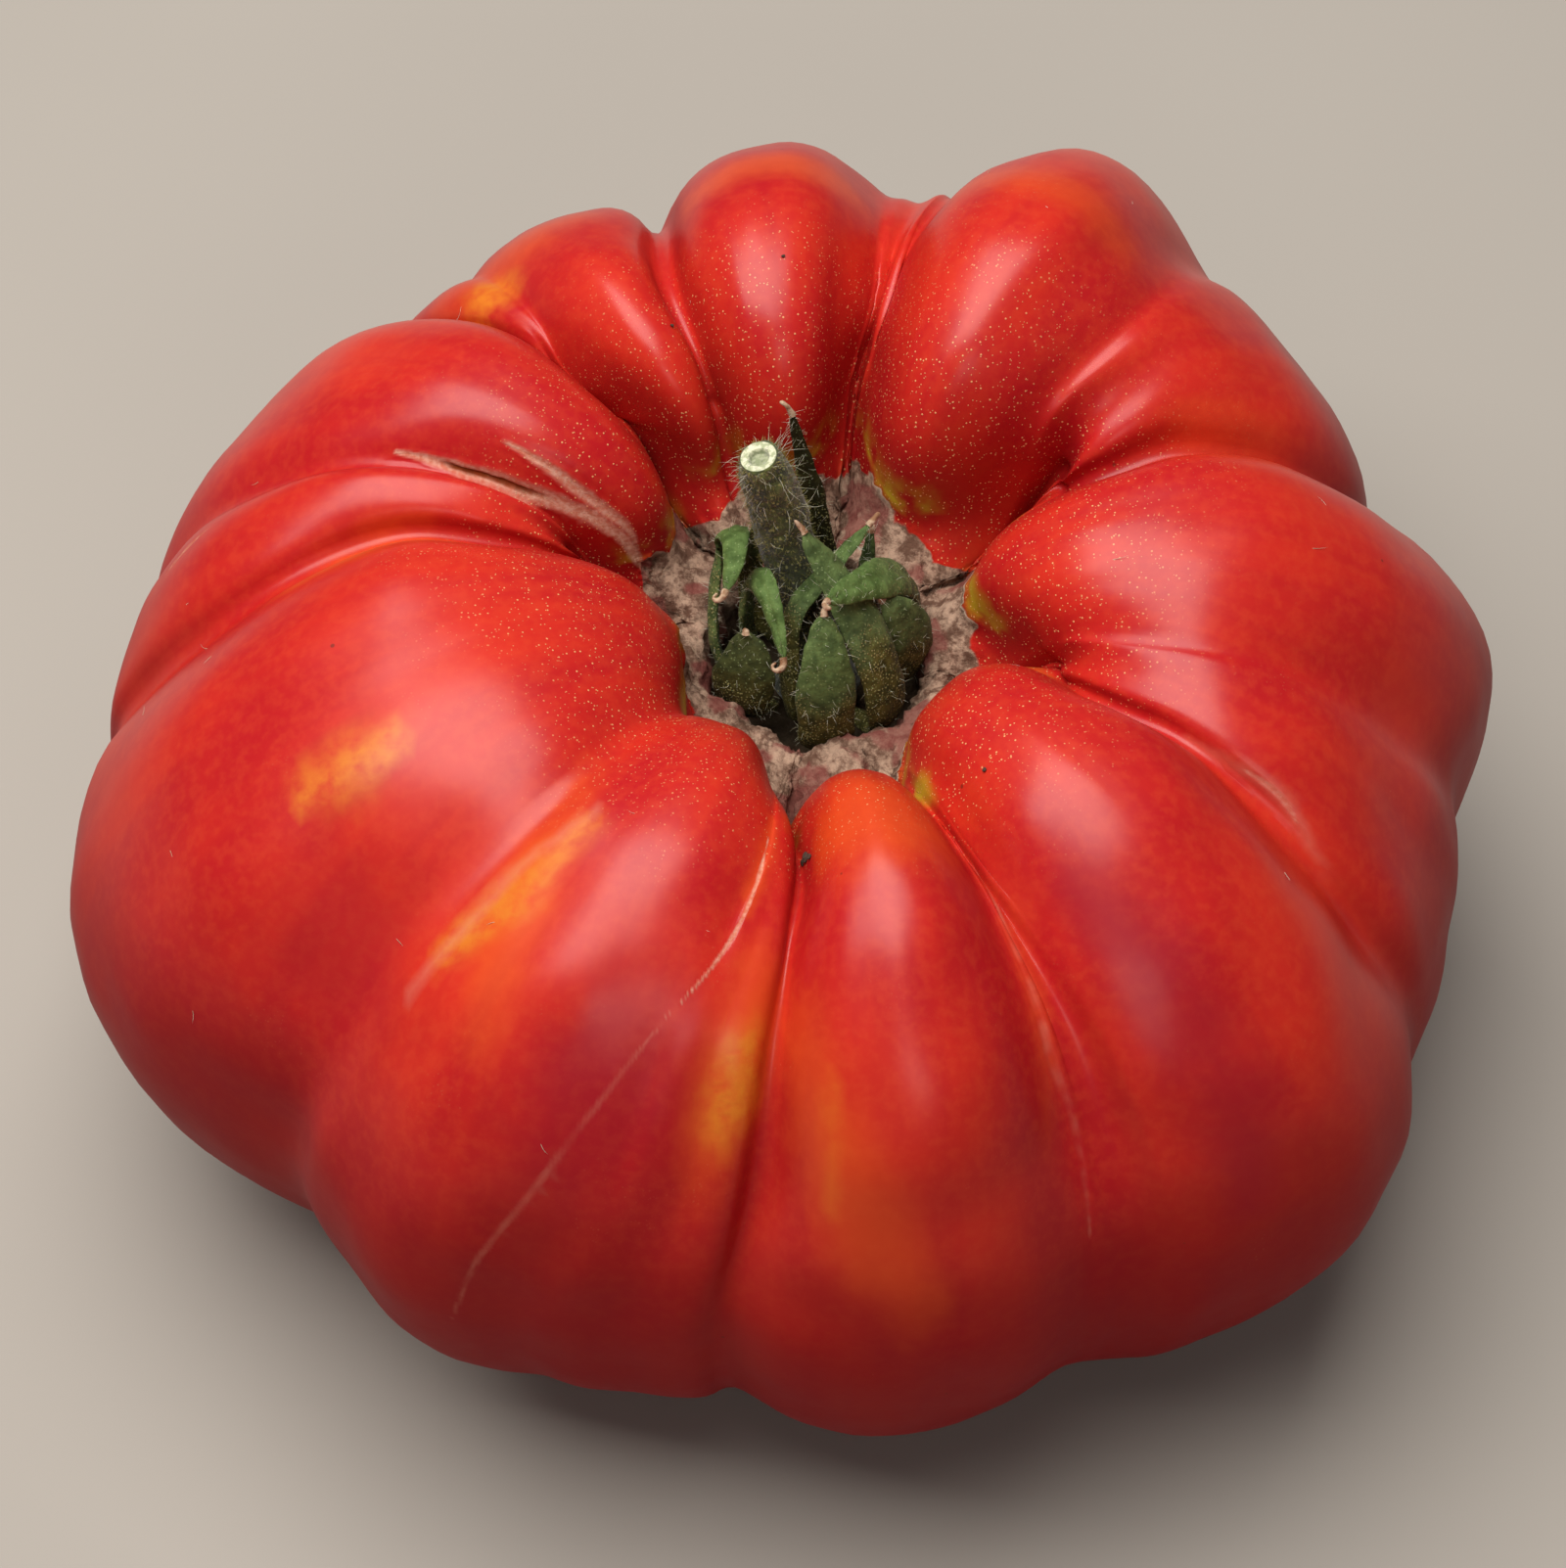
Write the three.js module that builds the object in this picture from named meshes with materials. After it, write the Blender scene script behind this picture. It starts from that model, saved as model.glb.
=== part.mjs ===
// A large ribbed beefsteak tomato, as picked, standing on its blossom end.
// Millimetres, +Z up. The fruit is one solid; the calyx in its stem basin is a stalk and separate sepals.
import * as THREE from "three";

// ---------------------------------------------------------------- driving dimensions

const BASIN_FLOOR = 45; // height of the basin's floor, where the stalk joins
const PIT_RADIUS = 9.5; // the deep middle of the basin, which holds the calyx
const COLLAR_HEIGHT = 54; // the corky collar between the pit and the ribs
const FOOT_RADIUS = 17; // the flat spot that the fruit rests on
const SCAR_RADIUS = 4; // blossom scar, a dimple in the middle of the flat spot
const SCAR_DEPTH = 1.2;
const RINGS = 40;
const COLUMNS_PER_RIB = 6;

// Each rib, counter-clockwise seen from above: its reach is from the stalk's axis to its outermost point,
// its crown is its greatest height, and its nose is how far from the axis its inner end stands.
const RIBS = [
  { name: "right_upper", reach: 62.5, crown: 69.5, nose: 13 },
  { name: "back_right", reach: 59, crown: 69, nose: 20 },
  { name: "back_right_tall", reach: 65, crown: 76, nose: 14 },
  { name: "back_gap", reach: 59, crown: 70, nose: 20 },
  { name: "back_middle", reach: 61, crown: 72.5, nose: 16 },
  { name: "back_left_inner", reach: 59, crown: 70, nose: 17 },
  { name: "back_left_outer", reach: 60, crown: 70.5, nose: 20 },
  { name: "left_back", reach: 62, crown: 71, nose: 15 },
  { name: "left_fold", reach: 65, crown: 70, nose: 17 },
  { name: "left_broad", reach: 69, crown: 71, nose: 12 },
  { name: "front_left", reach: 66, crown: 71, nose: 15 },
  { name: "front_narrow", reach: 61.5, crown: 71, nose: 16 },
  { name: "front_middle", reach: 63.5, crown: 71.5, nose: 18.5 },
  { name: "front_valley", reach: 63, crown: 68, nose: 15 },
  { name: "front_right", reach: 66, crown: 70.5, nose: 13.5 },
  { name: "right_lower", reach: 59, crown: 68, nose: 16 },
];

// The furrow on the clockwise side of each rib above. Its azimuths, in degrees, are at the basin's rim, on
// the crown, on the shoulder and on the side. Its depths are cut, on the crown, and side, on the side. Its
// banks reach wide degrees round. A keen furrow is a sharp crease, and a soft one is a shallow trough.
const FURROWS = [
  { at: [350, 342, 348, 355], cut: 2.5, side: 3, wide: 13, keen: 0.4 },
  { at: [36, 25, 19, 23], cut: 8.5, side: 5.5, wide: 15, keen: 0.9 },
  { at: [37, 39, 47, 50], cut: 3.5, side: 2, wide: 12, keen: 0.4 },
  { at: [81, 77, 75, 75], cut: 8, side: 3, wide: 14, keen: 0.9 },
  { at: [84, 81, 82, 83], cut: 5, side: 2.5, wide: 8, keen: 0.8 },
  { at: [113, 114, 108, 106], cut: 7.5, side: 5.5, wide: 12, keen: 0.9 },
  { at: [128, 133, 129, 127], cut: 2.5, side: 1, wide: 8, keen: 0.5 },
  { at: [128, 134, 137, 138], cut: 9, side: 4, wide: 14, keen: 0.9 },
  { at: [162, 165, 167, 170], cut: 4, side: 1, wide: 8, keen: 0.9 },
  { at: [164, 174, 182, 180], cut: 7, side: 4, wide: 14, keen: 0.9 },
  { at: [225, 232, 226, 222], cut: 3, side: 6.5, wide: 17, keen: 0.35 },
  { at: [258, 262, 254, 246], cut: 2, side: 1.5, wide: 10, keen: 0.35 },
  { at: [262, 267, 265, 262], cut: 8, side: 4, wide: 13, keen: 0.9 },
  { at: [290, 292, 293, 293], cut: 5.5, side: 3, wide: 12, keen: 0.7 },
  { at: [294, 293, 299, 302], cut: 1.5, side: 1, wide: 9, keen: 0.4 },
  { at: [347, 331, 328, 331], cut: 7.5, side: 3, wide: 15, keen: 0.8 },
];

// ---------------------------------------------------------------- helpers

const CALYX_MIDDLE = [0, 0, 55]; // the sepals curl in towards it
const HUB_RADIUS = 3.9; // the receptacle, where the sepals grow out
const STALK_RADIUS = 2.55;
const CUT_RADIUS = 1.75;
const SEPAL_ROOT = 1.5; // a sepal's width where it leaves the receptacle
const SEPAL_THICKNESS = 1;
const SEPAL_TIP = 0.45;

const STALK_SPINE = [
  [0, 0.1, 46.4], [-0.1, 0.9, 49], [-1.1, 3.4, 54], [-2.7, 5.2, 61], [-3.9, 6, 67], [-5.1, 5.9, 72],
];

// Each sepal leaves the receptacle along the pit's floor, bends at an elbow, and curls up and in like a
// finger. Its outer face looks away from the calyx's middle, or from the point given as behind.
const SEPALS = [
  {
    name: "front", width: 4.7, color: 0x4d6b35,
    spine: [[0.3, -4.3, 47.5], [0.6, -7.1, 48.1], [0.8, -8.8, 51], [0.8, -8.6, 55.5], [0.7, -6.9, 60],
      [0.5, -3.8, 62.8]],
  },
  {
    name: "front_right", width: 4.3, color: 0x4f6d33,
    spine: [[2.9, -3.2, 47.5], [5.2, -5.4, 48.3], [6.3, -6.4, 51.5], [5.9, -5.6, 56], [4.3, -3.4, 60],
      [1.6, -0.4, 63.2], [-1.3, 2.4, 66.3]],
  },
  {
    name: "right", width: 5, color: 0x46592a, behind: [4.5, 4, 53],
    spine: [[4.3, -0.5, 47.5], [6.7, -0.9, 48.5], [8.3, -1.2, 52], [8.2, -1.1, 56], [6.9, -0.9, 59.2],
      [5.4, -0.4, 60.2]],
  },
  {
    name: "back_right", width: 4.1, color: 0x5b7a34,
    spine: [[3.8, 2, 47.5], [6.4, 3.4, 48.6], [8.1, 4.4, 52.5], [8.2, 4.5, 56.5], [6.5, 2.2, 60.5],
      [3.6, -1, 63], [0.6, -4.3, 64.9]],
  },
  {
    name: "back_right_thin", width: 1.8, color: 0x3a4a2c,
    spine: [[2.5, 4.2, 47.6], [3.8, 6.2, 48.9], [4.5, 7.5, 52], [4.6, 8, 55.5], [4.8, 8.6, 58.6]],
  },
  {
    name: "back", width: 2.2, color: 0x2f3d22,
    spine: [[0.2, 5.1, 47.6], [0.7, 7.2, 48.8], [0.9, 8.9, 52.5], [0.1, 10.1, 58], [-0.9, 11, 64],
      [-2.3, 11.9, 70.6]],
  },
  {
    name: "back_left", width: 2.6, color: 0x46592a,
    spine: [[-2.9, 3.9, 47.6], [-4.8, 5.9, 48.9], [-6, 7.4, 52], [-5.9, 8.6, 56], [-4.9, 9.6, 59],
      [-3.4, 9.8, 60.5]],
  },
  {
    name: "left_thin", width: 2.3, color: 0x577c3a,
    spine: [[-4.3, 1.7, 47.6], [-5.6, 2.1, 49.8], [-6.4, 2.5, 54.5], [-5.8, 2.9, 59], [-4.9, 0.8, 61.3],
      [-3.7, -2.8, 60.3], [-2.9, -5.6, 58.2]],
  },
  {
    name: "left_curled", width: 3.3, color: 0x5a8038, behind: [-5.5, 2, 54],
    spine: [[-4.3, -0.5, 47.5], [-7.2, -0.8, 48.6], [-9, 0.2, 52], [-9.3, 3.5, 55.5], [-8.2, 7, 59.6],
      [-7.3, 5.4, 62.7], [-7.2, 2.2, 63.1], [-8, -1.5, 62.4]],
  },
  {
    name: "left_broad", width: 4.8, color: 0x434f25, behind: [-4.5, 3, 52],
    spine: [[-3.6, -2.4, 47.5], [-5.9, -3.9, 48.4], [-6.9, -5, 51.3], [-6.3, -4.2, 55], [-6.2, -2.3, 58.2]],
  },
  {
    name: "middle", width: 2.6, color: 0x47673f,
    spine: [[-1.8, -3.9, 47.6], [-2.3, -4, 50.2], [-2.7, -2.4, 54], [-2.4, -0.2, 57.8], [0.4, 2.5, 60.2],
      [3, 4.8, 61.5], [4.6, 6.2, 62.5]],
  },
];

const radians = THREE.MathUtils.degToRad;
const { lerp, clamp, smoothstep } = THREE.MathUtils;

// A value read from a list of [place, value] pairs, eased from one to the next.
function along(pairs, place) {
  const next = pairs.findIndex(([at]) => at > place);
  if (next === 0) return pairs[0][1];
  if (next < 0) return pairs.at(-1)[1];
  const [[from, low], [to, high]] = [pairs[next - 1], pairs[next]];
  return lerp(low, high, smoothstep(place, from, to));
}

// ---------------------------------------------------------------- the fruit

// A rib's outline in the half plane through the stalk's axis: from the basin's floor, over the crown, to the
// foot.
function outline({ reach, crown, nose }) {
  const back = reach - nose;
  const points = [
    [0, BASIN_FLOOR],
    [PIT_RADIUS * 0.85, BASIN_FLOOR + 0.5],
    [PIT_RADIUS + 0.8, COLLAR_HEIGHT - 2],
    [nose, COLLAR_HEIGHT],
    [nose + 1.5, lerp(COLLAR_HEIGHT, crown, 0.45)],
    [nose + back * 0.17, lerp(COLLAR_HEIGHT, crown, 0.86)],
    [nose + back * 0.42, crown],
    [nose + back * 0.72, crown * 0.9],
    [reach * 0.95, crown * 0.7],
    [reach, crown * 0.48],
    [reach * 0.92, crown * 0.22],
    [reach * 0.72, crown * 0.055],
    [FOOT_RADIUS, 0],
    [SCAR_RADIUS, 0],
    [0, SCAR_DEPTH],
  ];
  return new THREE.CatmullRomCurve3(points.map(([radius, height]) => new THREE.Vector3(radius, 0, height)));
}
const STATIONS = 14; // spans of that outline
const RIM = 3;
const CROWN = 5.6;
const SHOULDER = 7.4;
const SIDE = 9;

const furrowAzimuth = ({ at }, station) =>
  along([[RIM, at[0]], [CROWN, at[1]], [SHOULDER, at[2]], [SIDE, at[3]]], station);

const furrowDepth = ({ cut, side }, station) =>
  along([[2, 0], [RIM, cut * 0.4], [4, cut * 0.9], [CROWN, cut], [SHOULDER, lerp(cut, side, 0.5)],
    [SIDE, side], [10.5, side * 0.8], [12.6, 0]], station);

// How much of a furrow's depth is left at a share of its width: a cusp if it is keen, a trough if it is soft.
function bank(share, keen) {
  if (share >= 1) return 0;
  const cusp = 1 - Math.sqrt(1 - (1 - share) ** 2);
  const trough = Math.cos((Math.PI / 2) * share) ** 2;
  return lerp(trough, cusp, keen);
}

const turn = (degrees) => ((((degrees + 180) % 360) + 360) % 360) - 180;

function fruitPoint(column, station) {
  const rib = Math.floor(column);
  const share = column - rib;
  const here = RIBS[rib % RIBS.length];
  const other = RIBS[(rib + (share < 0.5 ? -1 : 1) + RIBS.length) % RIBS.length];
  const own = lerp(0.5, 1, smoothstep(1 - Math.abs(2 * share - 1), 0, 1));
  const blend = (key) => lerp(other[key], here[key], own);
  const curve = outline({ reach: blend("reach"), crown: blend("crown"), nose: blend("nose") });
  const place = station / STATIONS;
  const spot = curve.getPoint(place);
  const tangent = curve.getTangent(place);

  const from = furrowAzimuth(FURROWS[rib % RIBS.length], station);
  const to = furrowAzimuth(FURROWS[(rib + 1) % RIBS.length], station);
  const azimuth = from + share * turn(to - from);
  let depth = 0;
  for (const furrow of FURROWS) {
    const away = Math.abs(turn(azimuth - furrowAzimuth(furrow, station)));
    depth += furrowDepth(furrow, station) * bank(away / furrow.wide, furrow.keen);
  }
  const radius = spot.x + depth * tangent.z;
  const height = Math.max(0, spot.z - depth * tangent.x);
  return new THREE.Vector3(
    radius * Math.cos(radians(azimuth)), radius * Math.sin(radians(azimuth)), height);
}

// A sphere's grid, with each vertex carried to its place on the fruit.
function fruitGeometry() {
  const columns = RIBS.length * COLUMNS_PER_RIB;
  const geometry = new THREE.SphereGeometry(1, columns, RINGS);
  const { position, uv } = geometry.attributes;
  for (let i = 0; i < position.count; i++) {
    const ring = Math.round((1 - uv.getY(i)) * RINGS);
    const step = (Math.round(uv.getX(i) * columns) + columns) % columns;
    const rib = Math.floor(step / COLUMNS_PER_RIB);
    const share = step / COLUMNS_PER_RIB - rib;
    const graded = lerp(share, smoothstep(share, 0, 1), 0.35);
    const spot = fruitPoint(rib + graded, (ring / RINGS) * STATIONS);
    if (ring === 0 || ring === RINGS) spot.setX(0).setY(0);
    position.setXYZ(i, spot.x, spot.y, spot.z);
  }
  geometry.deleteAttribute("uv");
  geometry.computeVertexNormals();
  return geometry;
}

// ---------------------------------------------------------------- stalk and sepals

// A grown limb: a closed loft along a smooth spine, from its base to its tip, with flat ends. The size at
// each place gives half its width, half its thickness, and how far its long edges curl in.
function limbGeometry({ spine, behind = CALYX_MIDDLE, columns, rings, size }) {
  const curve = new THREE.CatmullRomCurve3(spine.map((spot) => new THREE.Vector3(...spot)));
  const inside = new THREE.Vector3(...behind);
  const geometry = new THREE.SphereGeometry(1, columns, rings);
  const { position, uv } = geometry.attributes;
  for (let i = 0; i < position.count; i++) {
    const ring = Math.round(uv.getY(i) * rings);
    const place = clamp((ring - 1) / (rings - 2), 0, 1);
    const spot = curve.getPointAt(place);
    if (ring > 0 && ring < rings) {
      const tangent = curve.getTangentAt(place);
      const outward = spot.clone().sub(inside);
      outward.addScaledVector(tangent, -outward.dot(tangent)).normalize();
      const side = new THREE.Vector3().crossVectors(outward, tangent);
      const angle = Math.round(uv.getX(i) * columns) * ((2 * Math.PI) / columns);
      const { width, thickness, curl } = size(place);
      spot.addScaledVector(side, width * Math.cos(angle));
      spot.addScaledVector(outward, thickness * Math.sin(angle) - curl * Math.cos(angle) ** 2);
    }
    position.setXYZ(i, spot.x, spot.y, spot.z);
  }
  geometry.deleteAttribute("uv");
  geometry.computeVertexNormals();
  return geometry;
}

function stalkGeometry() {
  const radius = (place) =>
    along([[0, HUB_RADIUS], [0.05, HUB_RADIUS], [0.14, STALK_RADIUS * 1.15], [0.3, STALK_RADIUS * 0.95],
      [0.6, STALK_RADIUS], [0.88, STALK_RADIUS * 0.95], [1, CUT_RADIUS]], place);
  const size = (place) => ({ width: radius(place), thickness: radius(place), curl: 0 });
  return limbGeometry({ spine: STALK_SPINE, columns: 16, rings: 22, size });
}

function sepalGeometry({ width, spine, behind }) {
  const size = (place) => {
    const half = along([[0, SEPAL_ROOT / 2], [0.14, lerp(SEPAL_ROOT, width, 0.5) / 2], [0.34, width / 2],
      [0.64, width * 0.47], [0.92, width * 0.22], [1, SEPAL_TIP / 2]], place);
    const thickness = along(
      [[0, SEPAL_THICKNESS * 0.75], [0.3, SEPAL_THICKNESS * 0.6], [1, SEPAL_TIP / 2]], place);
    return { width: half, thickness, curl: half * 0.35 * smoothstep(place, 0.1, 0.4) };
  };
  return limbGeometry({ spine, behind, columns: 8, rings: 16, size });
}

// ---------------------------------------------------------------- the whole tomato

const skin = new THREE.MeshStandardMaterial({ color: 0xc22114, roughness: 0.3, metalness: 0 });
const bark = new THREE.MeshStandardMaterial({ color: 0x3d4a24, roughness: 0.8, metalness: 0 });

const grown = new THREE.Group(); // its Z axis is the middle of the calyx

function addPiece(name, geometry, material) {
  const piece = new THREE.Mesh(geometry, material);
  piece.name = name;
  grown.add(piece);
}
addPiece("tomato_fruit", fruitGeometry(), skin);
addPiece("stalk", stalkGeometry(), bark);
for (const sepal of SEPALS) {
  const leaf = new THREE.MeshStandardMaterial({ color: sepal.color, roughness: 0.75, metalness: 0 });
  addPiece(`sepal_${sepal.name}`, sepalGeometry(sepal), leaf);
}

// The fruit leans out unevenly around its calyx, so the origin is set under the middle of the whole box.
const box = new THREE.Box3().setFromObject(grown, true);
const middle = box.getCenter(new THREE.Vector3());
grown.position.set(-middle.x, -middle.y, -box.min.z);

const tomato = new THREE.Group();
tomato.add(grown);
export default tomato;
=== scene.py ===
# %% [markdown]
# # A ribbed beefsteak tomato
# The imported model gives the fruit, its stalk and its sepals at their real size. This notebook gives them
# their looks: swollen ribs with a waxy skin, a corky basin, a furry calyx. Everything is in metres, and +Z is
# up, so each piece stays exactly where the model has it.

# %% The frame
import math
import bmesh
import bpy
import numpy as np
from mathutils import Matrix, Vector, noise
from mathutils.bvhtree import BVHTree
from mathutils.kdtree import KDTree


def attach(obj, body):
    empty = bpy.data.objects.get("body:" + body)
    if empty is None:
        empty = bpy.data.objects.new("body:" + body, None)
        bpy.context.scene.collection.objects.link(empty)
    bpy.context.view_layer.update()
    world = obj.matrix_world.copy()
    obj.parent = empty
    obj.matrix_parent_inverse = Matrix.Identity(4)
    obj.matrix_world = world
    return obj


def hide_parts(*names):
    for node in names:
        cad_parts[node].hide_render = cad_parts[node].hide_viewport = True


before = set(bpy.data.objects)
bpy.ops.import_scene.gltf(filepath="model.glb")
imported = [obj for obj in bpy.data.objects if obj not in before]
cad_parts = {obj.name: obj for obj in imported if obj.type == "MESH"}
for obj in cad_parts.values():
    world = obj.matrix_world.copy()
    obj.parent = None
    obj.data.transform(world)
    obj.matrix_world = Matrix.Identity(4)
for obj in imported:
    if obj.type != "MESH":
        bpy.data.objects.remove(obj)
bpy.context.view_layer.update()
MM = 0.001
SEED = 16
dice = np.random.default_rng(SEED)  # one seeded source for everything that is scattered
noise.seed_set(SEED)  # noise_vector reads at places that would otherwise differ from run to run
SEPALS = sorted(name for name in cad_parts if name.startswith("sepal_"))
print("nodes:", len(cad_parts), "sepals:", len(SEPALS))

# %% [markdown]
# ## Camera, floor and light
# A vegetable on a table is looked at from above the front, here 55 degrees up. A long lens keeps the ribs at
# the back from shrinking. The light is one large soft panel overhead, as under a window in a roof, with a
# small weak one in front, because a waxy skin shows its shape by broad highlights. The standard view
# transform keeps a saturated red as saturated as it is.

# %% The camera
ELEVATION = math.radians(55)
DISTANCE = 0.45
LENS = 114.6
AIM = Vector((-0.0006, -0.0019, 0.036))
SENSOR = 36  # millimetres, as the lens

camera_data = bpy.data.cameras.new("camera")
camera_data.lens = LENS
camera_data.sensor_width = SENSOR
camera = bpy.data.objects.new("camera", camera_data)
camera.location = AIM + DISTANCE * Vector((0, -math.cos(ELEVATION), math.sin(ELEVATION)))
camera.rotation_euler = (math.radians(90) - ELEVATION, 0, 0)
bpy.context.scene.collection.objects.link(camera)
bpy.context.scene.camera = camera
print("camera at", [round(c, 3) for c in camera.location])


# %% The lights
def soft_light(name, place, size, watts, colour):
    """A square panel that shines at the fruit."""
    data = bpy.data.lights.new(name, "AREA")
    data.size = size
    data.energy = watts
    data.color = colour
    light = bpy.data.objects.new(name, data)
    light.location = place
    light.rotation_euler = (AIM - Vector(place)).to_track_quat("-Z", "Y").to_euler()
    bpy.context.scene.collection.objects.link(light)


soft_light("overhead_panel", (-0.16, 0.06, 0.75), 0.68, 8.6, (1, 0.98, 0.95))
soft_light("front_fill", (0.08, -0.72, 0.6), 0.3, 0.75, (1, 0.97, 0.94))
bpy.context.scene.view_settings.view_transform = "Standard"
world = bpy.data.worlds.new("studio")
bpy.context.scene.world = world
world.use_nodes = True
ROOM_TINT = (0.9, 0.92, 1, 1)
ROOM_LIGHT = 0.08
world.node_tree.nodes["Background"].inputs["Color"].default_value = ROOM_TINT
world.node_tree.nodes["Background"].inputs["Strength"].default_value = ROOM_LIGHT

# %% [markdown]
# ## Writing a material
# A finish is a formula: how much of this colour where. Nodes wired one by one hide that formula, so a small
# class wraps a socket, and adding or multiplying two of them adds the Math node. One method adds any other
# node from its type, its settings and its inputs.


# %% The shader helper
class Value:
    """A number in a material. Arithmetic on it adds Math nodes."""

    def __init__(self, recipe, socket):
        self.recipe = recipe
        self.socket = socket

    def math(self, operation, first, second):
        return self.recipe.node("ShaderNodeMath", {"operation": operation}, {0: first, 1: second})

    def __add__(self, other):
        return self.math("ADD", self, other)

    def __sub__(self, other):
        return self.math("SUBTRACT", self, other)

    def __rsub__(self, other):
        return self.math("SUBTRACT", other, self)

    def __mul__(self, other):
        return self.math("MULTIPLY", self, other)

    __radd__ = __add__
    __rmul__ = __mul__


class Recipe:
    """One material, and the ways that nodes are added to it."""

    def __init__(self, name, **constants):
        self.material = bpy.data.materials.new(name)
        self.material.use_nodes = True
        self.tree = self.material.node_tree
        self.shader = self.tree.nodes["Principled BSDF"]
        for socket, value in constants.items():
            self.shader.inputs[socket.replace("_", " ")].default_value = value
        self.place = self.node("ShaderNodeTexCoord", {}, {}, "Object")

    def put(self, socket, value):
        if isinstance(value, Value):
            self.tree.links.new(value.socket, socket)
        elif isinstance(value, tuple) and len(value) == 3 and socket.type == "RGBA":
            socket.default_value = (*value, 1)
        else:
            socket.default_value = value

    def node(self, kind, settings, inputs, out=0):
        made = self.tree.nodes.new(kind)
        for name, value in settings.items():
            setattr(made, name, value)
        for name, value in inputs.items():
            self.put(made.inputs[name], value)
        return Value(self, made.outputs[out])

    def mask(self, name):
        """A number that the mesh carries at its vertices."""
        return self.node("ShaderNodeAttribute", {"attribute_name": name}, {}, "Fac")

    def grain(self, name):
        """Three numbers that the mesh carries at its vertices."""
        return self.node("ShaderNodeAttribute", {"attribute_name": name}, {}, "Vector")

    def upward(self, vector=None):
        """The vertical part of a vector: the height in metres, or how far the skin faces up."""
        return self.node("ShaderNodeSeparateXYZ", {}, {0: vector or self.place}, "Z")

    def cloud(self, scale, detail=3.0, roughness=0.5, where=None):
        """Soft noise from 0 to 1, with scale features in a metre."""
        inputs = {"Vector": where or self.place, "Scale": scale, "Detail": detail, "Roughness": roughness}
        return self.node("ShaderNodeTexNoise", {}, inputs, "Fac")

    def ramp(self, value, low, high):
        """0 below low and 1 above high, with a smooth rise between."""
        inputs = {"Value": value, "From Min": low, "From Max": high}
        return self.node("ShaderNodeMapRange", {"interpolation_type": "SMOOTHSTEP"}, inputs)

    def dots(self, scale, radius, share):
        """Round spots on a jittered lattice with scale cells in a metre; share of the cells have one."""
        cells = {"Vector": self.place, "Scale": scale}
        away = self.node("ShaderNodeTexVoronoi", {}, cells, "Distance")
        tint = self.node("ShaderNodeTexVoronoi", {}, cells, "Color")
        chance = self.node("ShaderNodeSeparateColor", {}, {0: tint}, "Red")
        return (1 - self.ramp(away, radius * 0.6, radius)) * self.ramp(chance, 1 - share, 1.02 - share)

    def mix(self, amount, below, above):
        settings = {"data_type": "RGBA"}
        return self.node("ShaderNodeMix", settings, {0: amount, 6: below, 7: above}, 2)

    def bump(self, height, distance, strength=1.0):
        inputs = {"Height": height, "Distance": distance, "Strength": strength}
        return self.node("ShaderNodeBump", {}, inputs, "Normal")

    def finish(self, **sockets):
        for name, value in sockets.items():
            self.put(self.shader.inputs[name.replace("_", " ")], value)
        return self.material


print("the helper is ready")

# %% [markdown]
# ## The floor
# A pale, plain, matte surface, so that the fruit's own colours and its soft shadow are all there is to see.

# %% The floor
FLOOR_SIZE = 3
floor_mesh = bpy.data.meshes.new("floor")
floor_work = bmesh.new()
bmesh.ops.create_grid(floor_work, x_segments=1, y_segments=1, size=FLOOR_SIZE)
floor_work.to_mesh(floor_mesh)
floor_work.free()
floor = bpy.data.objects.new("floor", floor_mesh)
bpy.context.scene.collection.objects.link(floor)
floor_finish = Recipe("floor_pale", Roughness=0.8)
floor_tint = floor_finish.mix(floor_finish.cloud(9, 2.0), (0.4, 0.36, 0.315), (0.44, 0.4, 0.35))
floor_mesh.materials.append(floor_finish.finish(Base_Color=floor_tint))
print("floor", FLOOR_SIZE, "m")

# %% [markdown]
# ## From a coarse solid to a grown surface
# The model's fruit is a grid of rings and columns, cut into triangles. Merged and joined back into quads, it
# is what a subdivision surface likes best: each level rounds the ribs and keeps the furrows. The rings are
# counted from the pole underneath, which gives each point its place from the blossom end to the basin.


# %% A copy of a node that can be worked on
def pole_of(work, near):
    """The end of the grid that is nearest to a point: a vertex where most edges meet."""
    most = max(len(v.link_edges) for v in work.verts)
    poles = [v for v in work.verts if len(v.link_edges) == most]
    return min(poles, key=lambda v: (v.co - near).length)


def count_rings(work, start, layer):
    """Writes on each vertex how many rings it is from the start."""
    ring, reached = 0, {start}
    edge = [start]
    while edge:
        for v in edge:
            v[layer] = ring
        edge = list({e.other_vert(v) for v in edge for e in v.link_edges} - reached)
        reached.update(edge)
        ring += 1
    return ring - 1


def grid_copy(node, start):
    """A bmesh of the node in quads, each vertex with its place along the grid, from 0 at the start to 1."""
    work = bmesh.new()
    work.from_mesh(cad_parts[node].data)
    bmesh.ops.remove_doubles(work, verts=work.verts, dist=0.001 * MM)
    along = work.verts.layers.float.new("along")
    root = pole_of(work, start)
    rings = count_rings(work, root, along)
    for v in work.verts:
        v[along] /= rings
    loosely = {"angle_face_threshold": math.radians(60), "angle_shape_threshold": math.radians(80)}
    bmesh.ops.join_triangles(work, faces=work.faces, **loosely)
    return work


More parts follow.
